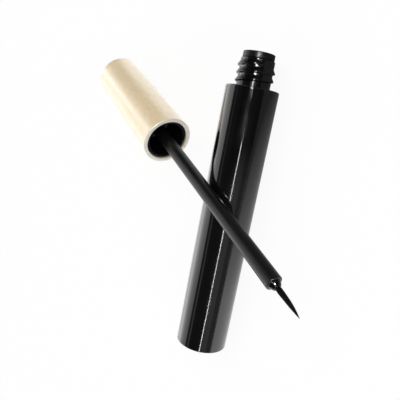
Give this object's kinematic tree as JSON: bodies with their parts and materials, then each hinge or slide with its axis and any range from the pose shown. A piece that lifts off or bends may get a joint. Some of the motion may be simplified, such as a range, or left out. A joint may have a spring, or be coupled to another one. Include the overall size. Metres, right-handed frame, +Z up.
{
  "type": "liquid eyeliner bottle",
  "caption": "Slim liquid eyeliner bottle lying open with a threaded neck and wiper, and its capped stem and pointed brush resting across it.",
  "frame": {"origin": "centre of the bottle's base face", "axes": "+X along the bottle from its base to its mouth, +Z up from the table that the bottle lies on, +Y towards the applicator's cap"},
  "size_m": [0.0804, 0.0959, 0.0227],
  "materials": {
    "gloss_black": "high gloss black",
    "moulded_black": "plain moulded black",
    "satin_black": "satin black",
    "soft_black": "soft black moulding",
    "inked_black": "fine strands, inked black",
    "champagne": "satin champagne",
    "steel": "polished",
    "foam": "dull charcoal foam"
  },
  "bodies": {
    "bottle": {"bottle_jacket": "gloss_black", "base_plug": "moulded_black", "inner_vial": "moulded_black", "wiper": "soft_black"},
    "ball": {"mixing_ball": "steel"},
    "applicator": {"cap_shell": "champagne", "cap_liner": "moulded_black", "seal_washer": "foam", "stem": "satin_black", "brush_tuft": "inked_black"}
  },
  "joints": [
    {"name": "applicator_lift", "type": "slide", "parent": "bottle", "child": "applicator", "axis": [0, 0, 1], "range_m": [0, 0.06]},
    {"name": "ball_run", "type": "slide", "parent": "bottle", "child": "ball", "axis": [1, 0, 0], "range_m": [0, 0.0583]}
  ]
}
